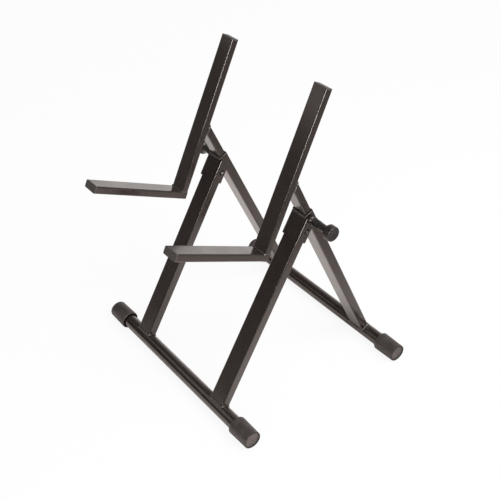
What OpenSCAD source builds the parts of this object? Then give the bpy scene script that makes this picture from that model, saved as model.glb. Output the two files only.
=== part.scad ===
// Folding floor stand for an amplifier. A front and a rear tube frame hinge together just
// below the top of the rear legs. A strut slides in each rear leg and carries a cradle: a
// backrest that leans back, with an arm square to its foot. A sprung pin locks each strut.
// Sizes are in millimetres. +X is the stand's right, -Y its front, and Z = 0 is the floor.

/* [Floor tubes] */
// Distance between the axes of the front and rear floor tubes
foot_span = 297; // [250:1:340]
// Length of each floor tube
cross_len = 373; // [340:1:500]
// Outer diameter of the floor tubes
cross_d = 22.2; // [19:0.1:26]
// Wall of the floor tubes
cross_wall = 1.5; // [1:0.1:3]

/* [End caps] */
// Outer diameter of the end caps at the mouth, where they stand on the floor
cap_d = 30; // [28:0.5:36]
// How much slimmer an end cap is at its closed end, across the diameter
cap_taper = 1.4; // [0:0.1:2]
// Overall length of an end cap
cap_len = 40; // [25:0.5:50]
// Thickness of an end cap's closed end
cap_end = 3; // [2:0.5:6]
// Rounding of the closed end's edge
cap_round = 1.5; // [1:0.1:3]
// Rounding of the mouth's edge
mouth_round = 2.6; // [0.5:0.1:3]

/* [Legs] */
// Distance between the middles of the left and right legs
leg_pitch = 204; // [160:1:236]
// Slope of the front legs above the floor, in degrees
front_angle = 60; // [56:0.5:64]
// Slope of the rear legs above the floor, in degrees
rear_angle = 65; // [61:0.5:69]
// Width of a leg tube, from left to right
leg_w = 30; // [26:0.5:36]
// Thickness of a leg tube, from front to back
leg_t = 15; // [13:0.5:18]
// Corner radius of a leg tube
leg_round = 2.1; // [1.5:0.1:3]
// Wall of a leg tube
leg_wall = 1.2; // [0.8:0.1:1.6]
// Height of the rear leg's open rim above the pivot, along the leg
rim_above_pivot = 22; // [20:0.5:40]

/* [Fold bracket] */
// Sheet thickness of the bracket
sheet = 2; // [1.5:0.1:3]
// Gap between the bracket and the front leg, at the front and on each side
bracket_gap = 0.4; // [0.3:0.1:1]
// Gap between the front leg's round top and the rear leg
fold_gap = 2.3; // [1.8:0.1:5]
// Reach of the bracket below the pivot, along the front leg
bracket_drop = 18; // [12:0.5:40]
// Radius of the bracket's outside bends
bend_round = 3; // [2.5:0.1:4]
// Radius of the weld beads between the bracket and the rear leg
bead_r = 1.8; // [1.2:0.1:2]

/* [Pivot fasteners] */
// Outer diameter of the pivot barrel
barrel_d = 7; // [6.4:0.1:9]
// Diameter of the pivot screw
screw_d = 5; // [4:0.1:5.2]
// Length of the pivot screw under its head
screw_len = 26; // [15:0.5:30]
// Diameter of both domed heads
head_d = 10; // [9:0.1:13]
// Height of both domed heads
head_h = 2.4; // [1.6:0.1:4]
// Width across the flats of the screw head's socket
socket_af = 3; // [2:0.1:4]
// Depth of the screw head's socket
socket_depth = 1.4; // [0.8:0.1:1.5]

/* [Cradle] */
// Gap all round between the strut and the inside of the rear leg
slide_gap = 0.5; // [0.3:0.1:1]
// Corner radius of the cradle tubes
bar_round = 2; // [1.5:0.1:3]
// Wall of the cradle tubes
bar_wall = 1.2; // [0.8:0.1:1.6]
// Reach of the strut's middle line past the rear leg's rim, to the backrest
strut_reach = 58; // [40:1:120]
// Distance up the backrest from the arm's top face to the strut's middle line
arm_drop = 103.7; // [60:0.5:140]
// Lean of the backrest from the vertical, in degrees
rest_lean = 25; // [15:0.5:30]
// Length of the backrest tube
rest_len = 242.5; // [200:0.5:320]
// Length of the arm tube in front of the backrest
arm_len = 154; // [100:1:220]
// Thickness of a plug's visible lip
plug_lip = 2; // [1.5:0.1:4]
// Depth of a plug inside its tube
plug_depth = 12; // [6:0.5:20]

/* [Height settings] */
// Number of height settings
settings = 7; // [3:1:8]
// Distance between two height settings
setting_pitch = 15; // [12:0.5:20]
// Length of strut below its lowest hole
strut_tail = 66; // [40:1:80]
// Distance of the locking pin below the rear leg's rim, along the leg
pin_below_rim = 18; // [15:0.5:30]

/* [Locking pin] */
// Diameter of the pin's nose
pin_d = 7; // [5.5:0.1:8]
// Reach of the nose past the strut's wall
pin_bite = 3.5; // [3:0.1:5]
// Travel of the pin when its knob is pulled
pin_travel = 6; // [5:0.1:6.2]
// Thickness of the collar that the spring pushes
collar_t = 1.5; // [1:0.1:3]
// Diameter of the stem inside the spring
stem_d = 5; // [4:0.1:5.2]
// Outer diameter of the threaded housing
housing_d = 11.5; // [11:0.1:12.5]
// Wall of the housing
housing_wall = 1; // [0.7:0.1:1.3]
// Thickness of the housing's outer end
housing_end = 2; // [1:0.1:3]
// Outer diameter of the welded base ring
ring_d = 14; // [13.5:0.1:14.4]
// Thickness of the welded base ring
ring_t = 2; // [1:0.1:4]
// Room for the spring when the pin is pulled right out
spring_room = 4.6; // [4:0.1:7]
// Wire diameter of the spring
wire_d = 0.5; // [0.3:0.1:0.5]
// Turns of the spring
spring_turns = 4; // [3:1:4]

/* [Knob] */
// Diameter of the knob's head
knob_d = 23; // [18:0.5:30]
// Diameter of the knob's neck
neck_d = 11.5; // [10:0.1:14]
// Length of the knob's straight neck
neck_len = 9; // [5:0.5:12]
// Length of the flare between neck and head
flare_len = 7.7; // [6:0.1:10]
// Thickness of the knob's head
knob_t = 11.6; // [8:0.1:15]
// Rounding of the head's outer edge
knob_round = 2.5; // [1:0.1:3.5]
// Rounding of the head's inner edge
knob_under_round = 1; // [0.5:0.1:2]
// Radius of the shallow hollow's sphere in the knob's outer face
dish_r = 50; // [40:1:90]
// Depth of the shallow hollow in the knob's outer face
dish_depth = 0.6; // [0.2:0.1:1]
// Thickness of knob left beyond the stem
knob_skin = 5; // [3:0.5:8]

/* [Clearances] */
// Gap between faces that move apart
run_gap = 0.3; // [0.2:0.05:0.5]
// Gap all round between a turning or sliding pin and its bore
pin_fit = 0.1; // [0.05:0.01:0.1]
// Gap all round between a fixed piece and its seat
seat_fit = 0.05; // [0.02:0.01:0.08]

/* [Hidden] */
$fn = 64;

// Sides of the stand: everything is drawn on the right and mirrored to the left
right = 1;
left = -1;

// Cut past a surface, so that no skin is left
over = 1;

// Floor tubes, end caps standing on the floor
cross_z = cap_d / 2;
cross_r = cross_d / 2;
mouth_land = 0.6;
mouth_r = min(mouth_round, cap_d / 2 - cross_r - seat_fit - mouth_land);

// The pivot lies on the front leg's middle line, far enough in front of the rear leg for
// the front leg's round top to turn
pivot_offset = leg_t + fold_gap;
front_len = (foot_span * sin(rear_angle) - pivot_offset) / sin(front_angle + rear_angle);
pivot_up = foot_span * cos(rear_angle) - front_len * cos(front_angle + rear_angle);
rear_len = pivot_up + rim_above_pivot;

// Bracket, measured from the front leg's middle line
bracket_in_w = leg_w + 2 * bracket_gap;
bracket_out_w = bracket_in_w + 2 * sheet;
web_front = leg_t / 2 + bracket_gap + sheet;
flange_rear = leg_t / 2;
bend_inside = max(bend_round - sheet, 0.3);

// Height up the rear leg where a line along the front leg meets the rear leg's front face;
// n is the line's distance behind the front leg's middle line
function meet_up(n) =
  foot_span * cos(rear_angle)
  - (foot_span * sin(rear_angle) - leg_t / 2) / tan(front_angle + rear_angle)
  - n / sin(front_angle + rear_angle);

// Cradle tubes slide in the leg tubes
bar_w = leg_w - 2 * leg_wall - 2 * slide_gap;
bar_t = leg_t - 2 * leg_wall - 2 * slide_gap;
strut_top = rear_len + strut_reach;
pin_up = rear_len - pin_below_rim;
strut_bottom = pin_up - (settings - 1) * setting_pitch - strut_tail;

// The origin lies on the floor, under the middle of the stand's whole depth: from the
// front of the arms or of the front caps to the back of the rear caps
arm_reach = (arm_len + plug_lip + bar_t) * cos(rest_lean) + (arm_drop + bar_t) * sin(rest_lean);
front_reach = max(strut_top * cos(rear_angle) + arm_reach, foot_span + cap_d / 2);
rear_y = (front_reach - cap_d / 2) / 2;
front_y = rear_y - foot_span;

// Locking pin, measured outward from the rear leg's outer face
pin_tip = -(leg_wall + slide_gap + bar_wall + pin_bite);
pin_chamfer = 0.8;
collar_top = run_gap + collar_t;
spring_start = collar_top + pin_travel + run_gap;
housing_in_top = spring_start + spring_room;
housing_top = housing_in_top + housing_end;
housing_in_r = housing_d / 2 - housing_wall;
collar_r = housing_in_r - 0.25;
spring_r = (stem_d / 2 + housing_in_r) / 2;

// Knob
neck_start = housing_top + run_gap;
flare_start = neck_start + neck_len;
head_start = flare_start + flare_len;
knob_top = head_start + knob_t;
stem_top = knob_top - dish_depth - knob_skin;

// Colours
coat = "#3b3533";
rubber = "#4a4442";
plastic = "#2e2a29";
zinc = "#b9b7b2";
knob_black = "#262221";

// Places a piece on the stand's right or left side
module on_side(side) {
  mirror([side == left ? 1 : 0, 0, 0]) children();
}

// Frame of a front leg: Z runs up its middle line from the floor tube, +Y is its rear face
module at_front_leg(up = 0) {
  translate([leg_pitch / 2, front_y, cross_z])
    rotate([front_angle - 90, 0, 0])
      translate([0, 0, up]) children();
}

// Frame of a rear leg: Z runs up its middle line from the floor tube, +Y is its rear face
module at_rear_leg(up = 0) {
  translate([leg_pitch / 2, rear_y, cross_z])
    rotate([90 - rear_angle, 0, 0])
      translate([0, 0, up]) children();
}

// Frame of a cradle: Z runs up the backrest's front face from the arm's top face
module at_cradle() {
  translate([leg_pitch / 2, rear_y - strut_top * cos(rear_angle), cross_z + strut_top * sin(rear_angle)])
    rotate([-rest_lean, 0, 0])
      translate([0, -bar_t, -arm_drop]) children();
}

// Frame of a pivot: Z runs outward along the pivot from the middle of the leg
module at_pivot() {
  at_front_leg(front_len) rotate([0, 90, 0]) children();
}

// Frame of a locking pin: Z runs outward from the rear leg's outer face
module at_pin() {
  at_rear_leg(pin_up) translate([leg_w / 2, 0, 0]) rotate([0, 90, 0]) children();
}

// Rectangle with round corners, around the origin
module round_rect(w, t, r) {
  square([w - 2 * r, t], center = true);
  square([w, t - 2 * r], center = true);
  for (x = [-1, 1], y = [-1, 1])
    translate([x * (w / 2 - r), y * (t / 2 - r)]) circle(r);
}

// Flat tube along Z
module flat_tube(len, w, t, r, wall) {
  linear_extrude(len) difference() {
    round_rect(w, t, r);
    round_rect(w - 2 * wall, t - 2 * wall, max(r - wall, 0.3));
  }
}

// Cradle tube along Z
module bar(len) {
  flat_tube(len, bar_w, bar_t, bar_round, bar_wall);
}

// Leg tube along Z
module leg_tube(len) {
  flat_tube(len, leg_w, leg_t, leg_round, leg_wall);
}

// Outside of a floor tube, across the foot of a leg
module saddle_cut() {
  rotate([0, 90, 0]) cylinder(h = leg_w + 2 * over, r = cross_r, center = true);
}

module cross_tube(y) {
  color(coat) translate([0, y, cross_z]) rotate([0, 90, 0]) difference() {
    cylinder(h = cross_len, r = cross_r, center = true);
    cylinder(h = cross_len + 2 * over, r = cross_r - cross_wall, center = true);
  }
}

// Half outline of an end cap: X is the radius, Y runs outward from the mouth
module cap_outline() {
  cap_r = cap_d / 2;
  end_r = cap_r - cap_taper / 2;
  end_z = cap_len - cap_round;
  difference() {
    union() {
      polygon([[0, mouth_r], [cap_r, mouth_r], [end_r, end_z], [0, end_z]]);
      square([cap_r - mouth_r, end_z]);
      translate([cap_r - mouth_r, mouth_r]) circle(mouth_r);
      translate([0, cap_len - 2 * cap_round]) square([end_r - cap_round, 2 * cap_round]);
      translate([end_r - cap_round, end_z]) circle(cap_round);
    }
    translate([-over, -over]) square([cross_r + seat_fit + over, cap_len - cap_end + over]);
  }
}

module cap(y) {
  color(rubber) translate([cross_len / 2 - (cap_len - cap_end), y, cross_z])
    rotate([0, 90, 0]) rotate_extrude() cap_outline();
}

module rear_leg() {
  color(coat) at_rear_leg() difference() {
    leg_tube(rear_len);
    saddle_cut();
    translate([leg_w / 2 - leg_wall - slide_gap / 2, 0, pin_up]) rotate([0, 90, 0])
      cylinder(h = leg_wall + slide_gap / 2 + over, r = pin_d / 2 + pin_fit);
  }
}

module front_leg() {
  color(coat) at_front_leg() difference() {
    intersection() {
      leg_tube(front_len + leg_t);
      union() {
        translate([-leg_w, -leg_t, 0]) cube([2 * leg_w, 2 * leg_t, front_len]);
        translate([0, 0, front_len]) rotate([0, 90, 0])
          cylinder(h = 2 * leg_w, r = leg_t / 2, center = true);
      }
    }
    saddle_cut();
    translate([0, 0, front_len]) rotate([0, 90, 0])
      cylinder(h = leg_w + 2 * over, r = barrel_d / 2 + pin_fit, center = true);
  }
}

// Section of the bracket across the front leg: a channel that is open to the rear
module channel_section() {
  depth = web_front + flange_rear;
  difference() {
    translate([0, -web_front + depth]) round_rect(bracket_out_w, 2 * depth, bend_round);
    translate([0, -web_front + depth]) round_rect(bracket_in_w, 2 * (depth - sheet), bend_inside);
    translate([-bracket_out_w, flange_rear]) square([2 * bracket_out_w, 2 * depth]);
  }
}

// Weld beads up both corners of the rear leg's front face
module bracket_beads() {
  low = meet_up(flange_rear) + bead_r / 2;
  high = meet_up(-web_front) - bead_r / 2;
  for (x = [-1, 1])
    at_rear_leg(low) translate([x * (bracket_in_w / 2 - bead_r / 4), bead_r / 3 - leg_t / 2, 0])
      cylinder(h = high - low, r = bead_r);
}

module bracket() {
  color(coat) difference() {
    union() {
      difference() {
        at_front_leg(front_len - bracket_drop)
          linear_extrude(bracket_drop + 3 * pivot_offset) channel_section();
        at_rear_leg() translate([-leg_w, -leg_t / 2, 0]) cube([2 * leg_w, 4 * leg_t, 2 * rear_len]);
      }
      bracket_beads();
    }
    at_rear_leg() linear_extrude(2 * rear_len) round_rect(leg_w, leg_t, leg_round);
    at_pivot() cylinder(h = 2 * leg_w, r = barrel_d / 2 + seat_fit, center = true);
    at_pin() cylinder(h = bracket_out_w, r = ring_d / 2 + run_gap);
  }
}

// Domed head on Z = 0, as the cap of a sphere
module domed_head() {
  dome_r = (head_d * head_d / 4 + head_h * head_h) / (2 * head_h);
  intersection() {
    cylinder(h = head_h, r = head_d / 2);
    translate([0, 0, head_h - dome_r]) sphere(dome_r);
  }
}

module pivot_barrel() {
  color(coat) at_pivot() difference() {
    union() {
      translate([0, 0, -bracket_out_w / 2]) cylinder(h = bracket_out_w, r = barrel_d / 2);
      translate([0, 0, -bracket_out_w / 2]) mirror([0, 0, 1]) domed_head();
    }
    translate([0, 0, bracket_out_w / 2 - screw_len - over])
      cylinder(h = screw_len + 2 * over, r = screw_d / 2 + seat_fit);
  }
}

module pivot_screw() {
  color(coat) at_pivot() translate([0, 0, bracket_out_w / 2]) difference() {
    union() {
      translate([0, 0, -screw_len]) cylinder(h = screw_len, r = screw_d / 2);
      domed_head();
    }
    translate([0, 0, head_h - socket_depth])
      cylinder(h = socket_depth + over, r = socket_af / sqrt(3), $fn = 6);
  }
}

module strut() {
  color(coat) difference() {
    at_rear_leg(strut_bottom) bar(strut_top - strut_bottom + bar_w);
    at_cradle() translate([-bar_w, bar_t - 4 * bar_w, -rest_len])
      cube([2 * bar_w, 4 * bar_w, 3 * rest_len]);
    for (i = [0 : settings - 1])
      at_rear_leg(pin_up - i * setting_pitch) rotate([0, 90, 0])
        translate([0, 0, bar_w / 2 - bar_wall - over])
          cylinder(h = bar_wall + 2 * over, r = pin_d / 2 + pin_fit);
  }
}

module backrest() {
  color(coat) at_cradle() translate([0, bar_t / 2, 0]) bar(rest_len);
}

module arm() {
  color(coat) at_cradle() translate([0, bar_t, -bar_t / 2]) rotate([90, 0, 0]) bar(arm_len + bar_t);
}

// Plug in the end of a cradle tube, with its lip on Z = 0
module plug() {
  skin = bar_wall + seat_fit;
  color(plastic) union() {
    linear_extrude(plug_lip) round_rect(bar_w, bar_t, bar_round);
    translate([0, 0, -plug_depth]) linear_extrude(plug_depth)
      round_rect(bar_w - 2 * skin, bar_t - 2 * skin, max(bar_round - bar_wall, 0.3));
  }
}

module backrest_plug() {
  at_cradle() translate([0, bar_t / 2, rest_len]) plug();
}

module arm_plug() {
  at_cradle() translate([0, -arm_len, -bar_t / 2]) rotate([90, 0, 0]) plug();
}

module pin_ring() {
  color(zinc) at_pin() difference() {
    cylinder(h = ring_t, r = ring_d / 2);
    translate([0, 0, -over]) cylinder(h = ring_t + 2 * over, r = housing_d / 2 + seat_fit);
  }
}

module pin_housing() {
  color(coat) at_pin() difference() {
    cylinder(h = housing_top, r = housing_d / 2);
    translate([0, 0, -over]) cylinder(h = housing_in_top + over, r = housing_in_r);
    cylinder(h = housing_top + over, r = stem_d / 2 + pin_fit);
  }
}

// Centre of the spring's wire after a number of turns
function coil_point(turn, start, rise) =
  [spring_r * cos(360 * turn), spring_r * sin(360 * turn), start + rise * turn];

// Ring of points around the wire, in the plane through the spring's axis
function coil_ring(turn, start, rise, sides) = [
  for (i = [0 : sides - 1])
    let (c = coil_point(turn, start, rise), a = 360 * i / sides, out = spring_r + wire_d / 2 * cos(a))
      [out * cos(360 * turn), out * sin(360 * turn), c[2] + wire_d / 2 * sin(a)]
];

// Spring, drawn as short as it gets when the pin is pulled right out
module pin_spring() {
  sides = 6;
  steps = 12 * spring_turns;
  end_gap = 0.1;
  start = spring_start + end_gap + wire_d / 2;
  rise = (spring_room - 2 * end_gap - wire_d) / spring_turns;
  rings = [for (k = [0 : steps]) each coil_ring(k / 12, start, rise, sides)];
  walls = [
    for (k = [0 : steps - 1], i = [0 : sides - 1])
      let (a = k * sides + i, b = k * sides + (i + 1) % sides)
        each [[a, b, a + sides], [b, b + sides, a + sides]]
  ];
  first = [for (i = [1 : sides - 2]) [0, i + 1, i]];
  last = [for (i = [1 : sides - 2]) [steps * sides, steps * sides + i, steps * sides + i + 1]];
  echo(spring_gap = rise - wire_d);
  color(zinc) at_pin() polyhedron(points = rings, faces = concat(walls, first, last));
}

// Half outline of the plunger: X is the radius, Y runs outward
module plunger_outline() {
  nose_r = pin_d / 2;
  polygon([
    [0, pin_tip], [nose_r - pin_chamfer, pin_tip], [nose_r, pin_tip + pin_chamfer],
    [nose_r, run_gap], [collar_r, run_gap], [collar_r, collar_top],
    [stem_d / 2, collar_top], [stem_d / 2, stem_top], [0, stem_top]
  ]);
}

module plunger() {
  color(zinc) at_pin() rotate_extrude() plunger_outline();
}

// Half outline of the knob: X is the radius, Y runs outward
module knob_outline() {
  knob_r = knob_d / 2;
  neck_r = neck_d / 2;
  difference() {
    union() {
      translate([0, neck_start]) square([neck_r, neck_len + over]);
      difference() {
        translate([0, flare_start]) square([knob_r - knob_under_round, flare_len + over]);
        translate([neck_r + flare_len, flare_start]) circle(flare_len);
      }
      translate([0, head_start + knob_under_round])
        square([knob_r, knob_t - knob_under_round - knob_round]);
      translate([knob_r - knob_under_round, head_start + knob_under_round]) circle(knob_under_round);
      translate([0, head_start]) square([knob_r - knob_round, knob_t]);
      translate([knob_r - knob_round, knob_top - knob_round]) circle(knob_round);
    }
    translate([0, knob_top + dish_r - dish_depth]) circle(dish_r);
    translate([-over, neck_start - over])
      square([stem_d / 2 + seat_fit + over, stem_top - neck_start + over]);
  }
}

module knob() {
  color(knob_black) at_pin() rotate_extrude() intersection() {
    knob_outline();
    translate([0, neck_start]) square([knob_d, knob_top - neck_start]);
  }
}

cross_tube(rear_y);  // rear_cross_tube
cross_tube(front_y);  // front_cross_tube
on_side(left) rear_leg();  // rear_leg_left
on_side(right) rear_leg();  // rear_leg_right
on_side(left) front_leg();  // front_leg_left
on_side(right) front_leg();  // front_leg_right
on_side(left) bracket();  // bracket_left
on_side(right) bracket();  // bracket_right
on_side(left) cap(rear_y);  // rear_cap_left
on_side(right) cap(rear_y);  // rear_cap_right
on_side(left) cap(front_y);  // front_cap_left
on_side(right) cap(front_y);  // front_cap_right
on_side(left) pivot_barrel();  // pivot_barrel_left
on_side(right) pivot_barrel();  // pivot_barrel_right
on_side(left) pivot_screw();  // pivot_screw_left
on_side(right) pivot_screw();  // pivot_screw_right
on_side(left) strut();  // strut_left
on_side(right) strut();  // strut_right
on_side(left) backrest();  // backrest_left
on_side(right) backrest();  // backrest_right
on_side(left) arm();  // arm_left
on_side(right) arm();  // arm_right
on_side(left) backrest_plug();  // backrest_plug_left
on_side(right) backrest_plug();  // backrest_plug_right
on_side(left) arm_plug();  // arm_plug_left
on_side(right) arm_plug();  // arm_plug_right
on_side(left) pin_ring();  // pin_ring_left
on_side(right) pin_ring();  // pin_ring_right
on_side(left) pin_housing();  // pin_housing_left
on_side(right) pin_housing();  // pin_housing_right
on_side(left) pin_spring();  // pin_spring_left
on_side(right) pin_spring();  // pin_spring_right
on_side(left) plunger();  // plunger_left
on_side(right) plunger();  // plunger_right
on_side(left) knob();  // knob_left
on_side(right) knob();  // knob_right
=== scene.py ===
import math

import bmesh
import bpy
from mathutils import Matrix, Vector


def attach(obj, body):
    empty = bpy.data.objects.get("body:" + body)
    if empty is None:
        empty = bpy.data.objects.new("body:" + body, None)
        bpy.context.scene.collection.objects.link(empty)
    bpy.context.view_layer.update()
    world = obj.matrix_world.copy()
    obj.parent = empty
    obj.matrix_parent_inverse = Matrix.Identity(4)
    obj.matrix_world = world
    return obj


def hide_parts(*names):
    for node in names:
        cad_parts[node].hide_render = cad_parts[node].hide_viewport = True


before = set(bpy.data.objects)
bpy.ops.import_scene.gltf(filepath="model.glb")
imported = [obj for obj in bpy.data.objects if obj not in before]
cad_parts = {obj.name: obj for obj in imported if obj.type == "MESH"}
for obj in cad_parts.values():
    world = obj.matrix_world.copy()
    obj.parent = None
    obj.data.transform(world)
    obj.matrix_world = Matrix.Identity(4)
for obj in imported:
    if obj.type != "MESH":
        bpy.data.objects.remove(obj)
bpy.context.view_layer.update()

print("frame loaded:", len(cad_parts), "solids")

# directions and seats of the stand, in metres and degrees, as the solids have them

stand = {
    "legPitch": 0.204,
    "crossZ": 0.015,
    "crossRadius": 0.0111,
    "frontY": -0.123492,
    "rearY": 0.173508,
    "frontSlope": 60.0,
    "rearSlope": 65.0,
    "restLean": 25.0,
    "legWidth": 0.030,
    "legThickness": 0.015,
    "legRound": 0.0021,
    "legWall": 0.0012,
    "barWidth": 0.0266,
    "barThickness": 0.0116,
    "barRound": 0.002,
    "pivot": (0.030248, 0.281286),  # y, z of the axis on which the frames fold
    "armTop": (-0.042221, 0.272020),  # y, z where the backrest's front face meets the arm
    "rearRim": 0.323881,  # height of the rear leg's open rim, along the leg
    "webTop": 0.32083,  # height of the bracket's upper edge along the rear leg
    "pinUp": 0.305881,  # height of the locking pin along the rear leg
    "sides": {"left": -1, "right": 1},
}


def tiltedAxes(tilt):
    # x, y and z of a piece that is turned about the stand's width
    turn = Matrix.Rotation(math.radians(tilt), 3, "X")
    return [turn @ Vector(axis) for axis in ((1, 0, 0), (0, 1, 0), (0, 0, 1))]


def legX(side):
    return stand["sides"][side] * stand["legPitch"] / 2


def seatOf(kind, side):
    # origin and axes of a "frontLeg", a "rearLeg" or a "cradle"
    if kind == "cradle":
        return Vector((legX(side), *stand["armTop"])), tiltedAxes(-stand["restLean"])
    if kind == "frontLeg":
        footY, tilt = stand["frontY"], stand["frontSlope"] - 90
    else:
        footY, tilt = stand["rearY"], 90 - stand["rearSlope"]
    return Vector((legX(side), footY, stand["crossZ"])), tiltedAxes(tilt)


def placed(seat, x, y, z):
    # a point given in a seat's own axes
    origin, axes = seat
    return origin + axes[0] * x + axes[1] * y + axes[2] * z


# camera, at the photograph's angle

cameraValues = {
    "azimuth": 52.1801,
    "elevation": 35.9709,
    "roll": -0.3744,
    "place": (0.889528, -0.656695, 1.012775),
    "lens": 64.186,
    "sensor": 36.0,
    "shiftX": -0.014044,
    "shiftY": -0.017778,
    "clipStart": 0.05,
}


def makeCamera(values):
    az, el, roll = (math.radians(values[name]) for name in ("azimuth", "elevation", "roll"))
    back = Vector((math.sin(az) * math.cos(el), -math.cos(az) * math.cos(el), math.sin(el)))
    right = Vector((math.cos(az), math.sin(az), 0))
    up = back.cross(right)
    rightRolled = math.cos(roll) * right + math.sin(roll) * up
    upRolled = -math.sin(roll) * right + math.cos(roll) * up
    data = bpy.data.cameras.new("photoCamera")
    data.lens = values["lens"]
    data.sensor_width = values["sensor"]
    data.shift_x = values["shiftX"]
    data.shift_y = values["shiftY"]
    data.clip_start = values["clipStart"]
    camera = bpy.data.objects.new("photoCamera", data)
    turn = Matrix((rightRolled, upRolled, back)).transposed().to_4x4()
    camera.matrix_world = Matrix.Translation(values["place"]) @ turn
    bpy.context.scene.collection.objects.link(camera)
    bpy.context.scene.camera = camera


makeCamera(cameraValues)
print("camera placed")

# helpers for node trees


def addNode(tree, kind, **settings):
    node = tree.nodes.new(kind)
    for name, value in settings.items():
        setattr(node, name, value)
    return node


def feed(tree, target, value):
    # links a socket, or writes a plain value into it
    if isinstance(value, bpy.types.NodeSocket):
        tree.links.new(value, target)
    elif value is not None:
        target.default_value = value


def math2(tree, operation, a, b=None, clamp=False):
    node = addNode(tree, "ShaderNodeMath", operation=operation, use_clamp=clamp)
    feed(tree, node.inputs[0], a)
    feed(tree, node.inputs[1], b)
    return node.outputs[0]


def newTree(name, kind, inputs, outputs):
    # sockets are (name, type, default); a tree gets its own input and output nodes
    tree = bpy.data.node_groups.new(name, kind)
    for title, socketType, default in inputs:
        socket = tree.interface.new_socket(name=title, in_out="INPUT", socket_type=socketType)
        if default is not None:
            socket.default_value = default
    for title, socketType in outputs:
        tree.interface.new_socket(name=title, in_out="OUTPUT", socket_type=socketType)
    return tree, tree.nodes.new("NodeGroupInput").outputs, tree.nodes.new("NodeGroupOutput").inputs


# effects that the finishes share


def noise(tree, vector, scale, detail=2.0, roughness=0.5):
    node = addNode(tree, "ShaderNodeTexNoise")
    feed(tree, node.inputs["Vector"], vector)
    feed(tree, node.inputs["Scale"], scale)
    node.inputs["Detail"].default_value = detail
    node.inputs["Roughness"].default_value = roughness
    return node.outputs["Fac"]


def remap(tree, value, low, high, toLow=0.0, toHigh=1.0, smooth=True):
    kind = "SMOOTHSTEP" if smooth else "LINEAR"
    node = addNode(tree, "ShaderNodeMapRange", interpolation_type=kind)
    feed(tree, node.inputs["Value"], value)
    bounds = {"From Min": low, "From Max": high, "To Min": toLow, "To Max": toHigh}
    for name, bound in bounds.items():
        feed(tree, node.inputs[name], bound)
    return node.outputs["Result"]


def mixColour(tree, factor, a, b):
    node = addNode(tree, "ShaderNodeMix", data_type="RGBA")
    feed(tree, node.inputs["Factor"], factor)
    for name, colour in (("A", a), ("B", b)):
        feed(tree, [s for s in node.inputs if s.name == name and s.type == "RGBA"][0], colour)
    return [s for s in node.outputs if s.type == "RGBA"][0]


def makeGrainGroup():
    # fine grain over the slow waves that a baked coat or a mould leaves
    tree, given, out = newTree(
        "surfaceGrain",
        "ShaderNodeTree",
        [("Vector", "NodeSocketVector", None), ("Grain Scale", "NodeSocketFloat", 2500.0),
         ("Wave Scale", "NodeSocketFloat", 420.0), ("Wave Share", "NodeSocketFloat", 0.6)],
        [("Height", "NodeSocketFloat")],
    )
    fine = noise(tree, given["Vector"], given["Grain Scale"], detail=2.0, roughness=0.6)
    waves = noise(tree, given["Vector"], given["Wave Scale"], detail=1.0)
    share = given["Wave Share"]
    rest = math2(tree, "SUBTRACT", 1.0, share)
    fineShare = math2(tree, "MULTIPLY", fine, rest)
    tree.links.new(math2(tree, "ADD", fineShare, math2(tree, "MULTIPLY", waves, share)), out["Height"])
    return tree


handlingValues = {
    "clouds": (0.32, 0.68),  # from the first to the second, noise turns smooth to rough
    "speckScale": 17.0,  # how much finer the specks are than the clouds
    "specks": (0.60, 0.74),
    "scuffRoughness": 0.12,  # added where the scuffs are full
}


def makeHandlingGroup(values):
    # smudges and faint scuffs: they change the gloss and, a little, the colour
    tree, given, out = newTree(
        "handling",
        "ShaderNodeTree",
        [("Vector", "NodeSocketVector", None), ("Colour", "NodeSocketColor", None),
         ("Scuffed Colour", "NodeSocketColor", None), ("Smooth", "NodeSocketFloat", 0.3),
         ("Rough", "NodeSocketFloat", 0.4), ("Scale", "NodeSocketFloat", 24.0),
         ("Scuffs", "NodeSocketFloat", 0.3)],
        [("Colour", "NodeSocketColor"), ("Roughness", "NodeSocketFloat")],
    )
    clouds = noise(tree, given["Vector"], given["Scale"], detail=4.0, roughness=0.55)
    cloudy = remap(tree, clouds, *values["clouds"])
    fineScale = math2(tree, "MULTIPLY", given["Scale"], values["speckScale"])
    fine = noise(tree, given["Vector"], fineScale, detail=3.0, roughness=0.7)
    specks = math2(tree, "MULTIPLY", remap(tree, fine, *values["specks"]), cloudy)
    scuffs = math2(tree, "MULTIPLY", specks, given["Scuffs"], clamp=True)
    roughness = remap(tree, cloudy, 0.0, 1.0, given["Smooth"], given["Rough"], smooth=False)
    added = math2(tree, "MULTIPLY", scuffs, values["scuffRoughness"])
    tree.links.new(mixColour(tree, scuffs, given["Colour"], given["Scuffed Colour"]), out["Colour"])
    tree.links.new(math2(tree, "ADD", roughness, added, clamp=True), out["Roughness"])
    return tree


dustValues = {
    "upward": (0.15, 0.95),  # the height of the normal at which dust begins and is full
    "patches": (0.35, 0.75),
}


def makeDustGroup(values):
    # a thin film on what faces up; the normal is the piece's own, so it turns with the piece
    tree, given, out = newTree(
        "settledDust",
        "ShaderNodeTree",
        [("Vector", "NodeSocketVector", None), ("Normal", "NodeSocketVector", None),
         ("Colour", "NodeSocketColor", None), ("Dust Colour", "NodeSocketColor", (0.30, 0.28, 0.26, 1)),
         ("Amount", "NodeSocketFloat", 0.05), ("Scale", "NodeSocketFloat", 60.0)],
        [("Colour", "NodeSocketColor")],
    )
    split = addNode(tree, "ShaderNodeSeparateXYZ")
    tree.links.new(given["Normal"], split.inputs[0])
    upward = remap(tree, split.outputs["Z"], *values["upward"])
    clouds = noise(tree, given["Vector"], given["Scale"], detail=5.0, roughness=0.62)
    settled = math2(tree, "MULTIPLY", upward, remap(tree, clouds, *values["patches"]))
    mask = math2(tree, "MULTIPLY", settled, given["Amount"], clamp=True)
    tree.links.new(mixColour(tree, mask, given["Colour"], given["Dust Colour"]), out["Colour"])
    return tree


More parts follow.
